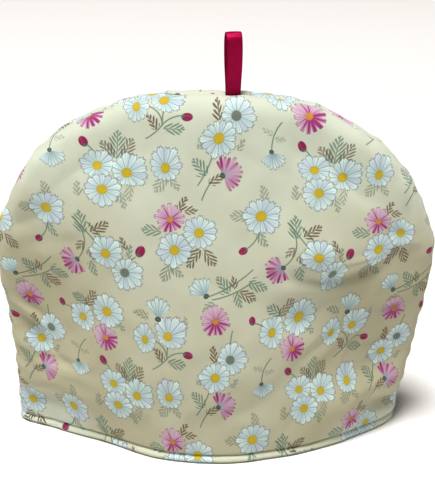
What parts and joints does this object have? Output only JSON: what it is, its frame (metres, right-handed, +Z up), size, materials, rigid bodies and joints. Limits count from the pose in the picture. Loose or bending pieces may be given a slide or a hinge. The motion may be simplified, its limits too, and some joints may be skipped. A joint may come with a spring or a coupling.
{
  "type": "tea cosy",
  "caption": "Padded cotton tea cosy with a domed seam, an open stitched hem to go over a teapot, and a ribbon loop at the top to lift or hang it by.",
  "frame": {"origin": "on the floor, under the middle of the cosy's width, in the plane of the seam", "axes": "+Z up, +X along the cosy's width to the side the ribbon loop is nearer, +Y through its thickness from the front panel to the back one"},
  "size_m": [0.3411, 0.141, 0.3259],
  "materials": {
    "printed_cotton": "matt woven cotton with a printed flower pattern",
    "ribbon": "satin with fine cross ribs"
  },
  "bodies": {
    "root": {"front_panel": "printed_cotton", "back_panel": "printed_cotton", "ribbon_loop": "ribbon"}
  },
  "joints": []
}
